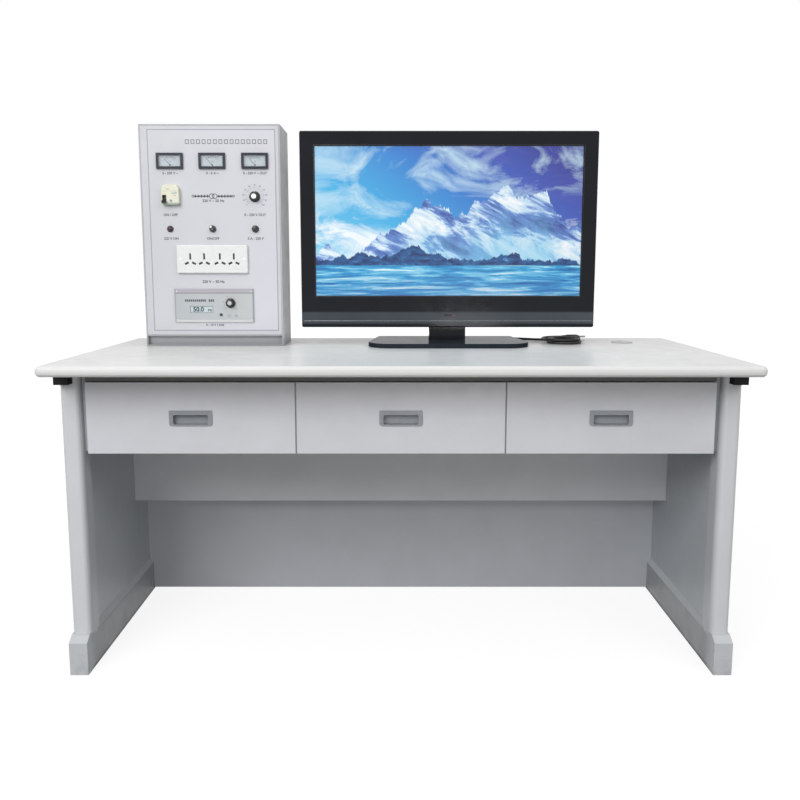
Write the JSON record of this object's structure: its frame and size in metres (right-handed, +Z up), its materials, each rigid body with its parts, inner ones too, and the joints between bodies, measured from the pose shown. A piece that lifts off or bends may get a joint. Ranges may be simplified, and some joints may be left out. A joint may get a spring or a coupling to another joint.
{
  "type": "television repair trainer",
  "caption": "Laboratory desk with drawers that carries a mains control console with meters, switches and outlets and a flat television on a stand, for teaching television repair.",
  "frame": {"origin": "on the floor under the middle of the desktop", "axes": "+Z up, front towards -Y, +X towards the television's side, to the right of someone who faces the front"},
  "size_m": [1.6, 0.7, 1.351],
  "materials": {
    "pale_laminate": "satin laminate",
    "grommet_plastic": "satin",
    "post_enamel": "satin enamel",
    "grey_board": "satin laminate",
    "black_plastic": "matt",
    "carrier_board": "matt laminate",
    "drawer_board": "satin laminate",
    "pull_plastic": "satin",
    "meter_plastic": "gloss",
    "meter_glass": "clear",
    "needle_black": "satin",
    "console_steel": "satin enamel",
    "panel_enamel": "satin enamel",
    "cream_plastic": "satin",
    "knob_plastic": "satin",
    "button_plastic": "satin",
    "lamp_red": "gloss",
    "bright_metal": "bright",
    "socket_white": "satin",
    "generator_silver": "satin",
    "transformer_core": "varnished",
    "tv_gloss_black": "high gloss",
    "tv_screen": "gloss",
    "tv_matt_black": "matt",
    "stand_gloss": "gloss",
    "lead_rubber": "matt",
    "tie_plastic": "matt"
  },
  "bodies": {
    "desk": {"desktop": "pale_laminate", "cable_grommet": "grommet_plastic", "leg_post_left": "post_enamel", "leg_post_right": "post_enamel", "end_panel_left": "grey_board", "end_panel_right": "grey_board", "plinth_left": "grey_board", "plinth_right": "grey_board", "cable_duct": "grey_board", "modesty_panel": "grey_board", "bearer_rail_left": "black_plastic", "bearer_rail_right": "black_plastic", "drawer_divider_left": "carrier_board", "drawer_divider_right": "carrier_board", "drawer_side_left": "carrier_board", "drawer_side_right": "carrier_board", "left_meter_body": "meter_plastic", "left_meter_window": "meter_glass", "middle_meter_body": "meter_plastic", "middle_meter_window": "meter_glass", "right_meter_body": "meter_plastic", "right_meter_window": "meter_glass", "console_case": "console_steel", "console_rear_cover": "console_steel", "console_front_panel": "panel_enamel", "breaker_body": "cream_plastic", "power_lamp": "lamp_red", "toggle_body": "bright_metal", "socket_plate": "socket_white", "generator_module": "generator_silver", "isolation_transformer": "transformer_core", "tv_front_bezel": "tv_gloss_black", "tv_stand_neck": "tv_gloss_black", "tv_screen": "tv_screen", "tv_rear_cover": "tv_matt_black", "tv_stand_base": "stand_gloss", "tv_lead_relief": "lead_rubber", "tv_lead_run": "lead_rubber", "tv_lead_coil": "lead_rubber", "tv_plug": "lead_rubber", "lead_tie": "tie_plastic"},
    "left_drawer": {"left_drawer_tray": "carrier_board", "left_drawer_front": "drawer_board", "left_drawer_pull": "pull_plastic"},
    "middle_drawer": {"middle_drawer_tray": "carrier_board", "middle_drawer_front": "drawer_board", "middle_drawer_pull": "pull_plastic"},
    "right_drawer": {"right_drawer_tray": "carrier_board", "right_drawer_front": "drawer_board", "right_drawer_pull": "pull_plastic"},
    "breaker_lever": {"breaker_lever": "knob_plastic"},
    "breaker_test_button": {"breaker_test_button": "button_plastic"},
    "regulator_knob": {"regulator_knob": "knob_plastic"},
    "generator_knob": {"generator_knob": "knob_plastic"},
    "toggle_lever": {"toggle_lever": "bright_metal"},
    "fuse_cap": {"fuse_cap": "knob_plastic"},
    "left_meter_needle": {"left_meter_needle": "needle_black"},
    "middle_meter_needle": {"middle_meter_needle": "needle_black"},
    "right_meter_needle": {"right_meter_needle": "needle_black"},
    "grommet_cap": {"grommet_cap": "grommet_plastic"}
  },
  "joints": [
    {"name": "left_drawer_slide", "type": "slide", "parent": "desk", "child": "left_drawer", "axis": [0, -1, 0], "range_m": [0, 0.28]},
    {"name": "middle_drawer_slide", "type": "slide", "parent": "desk", "child": "middle_drawer", "axis": [0, -1, 0], "range_m": [0, 0.28]},
    {"name": "right_drawer_slide", "type": "slide", "parent": "desk", "child": "right_drawer", "axis": [0, -1, 0], "range_m": [0, 0.28]},
    {"name": "breaker_lever_hinge", "type": "hinge", "parent": "desk", "child": "breaker_lever", "pos_m": [-0.62468, 0.0892, 1.15675], "axis": [-1, 0, 0], "range_deg": [0, 60]},
    {"name": "breaker_test_press", "type": "slide", "parent": "desk", "child": "breaker_test_button", "axis": [0, 1, 0], "range_m": [0, 0.0015], "stiffness_N_per_m": 300},
    {"name": "regulator_turn", "type": "hinge", "parent": "desk", "child": "regulator_knob", "pos_m": [-0.38789, 0.097, 1.16366], "axis": [0, 1, 0], "range_deg": [-135, 135]},
    {"name": "generator_turn", "type": "hinge", "parent": "desk", "child": "generator_knob", "pos_m": [-0.4588, 0.0927, 0.88187], "axis": [0, 1, 0], "range_deg": [-135, 135]},
    {"name": "toggle_throw", "type": "hinge", "parent": "desk", "child": "toggle_lever", "pos_m": [-0.50172, 0.0925, 1.0791], "axis": [1, 0, 0], "range_deg": [0, 24]},
    {"name": "fuse_cap_turn", "type": "hinge", "parent": "desk", "child": "fuse_cap", "pos_m": [-0.38789, 0.097, 1.0791], "axis": [0, -1, 0], "range_deg": [0, 90]},
    {"name": "left_needle_swing", "type": "hinge", "parent": "desk", "child": "left_meter_needle", "pos_m": [-0.61053, 0.097, 1.24592], "axis": [0, 1, 0], "range_deg": [0, 84], "stiffness_Nm_per_rad": 0.0005},
    {"name": "middle_needle_swing", "type": "hinge", "parent": "desk", "child": "middle_meter_needle", "pos_m": [-0.49875, 0.097, 1.24592], "axis": [0, 1, 0], "range_deg": [0, 84], "stiffness_Nm_per_rad": 0.0005},
    {"name": "right_needle_swing", "type": "hinge", "parent": "desk", "child": "right_meter_needle", "pos_m": [-0.38566, 0.097, 1.24592], "axis": [0, 1, 0], "range_deg": [0, 84], "stiffness_Nm_per_rad": 0.0005},
    {"name": "grommet_cap_turn", "type": "hinge", "parent": "desk", "child": "grommet_cap", "pos_m": [0.63, 0.198, 0.765], "axis": [0, 0, 1], "continuous": true}
  ]
}
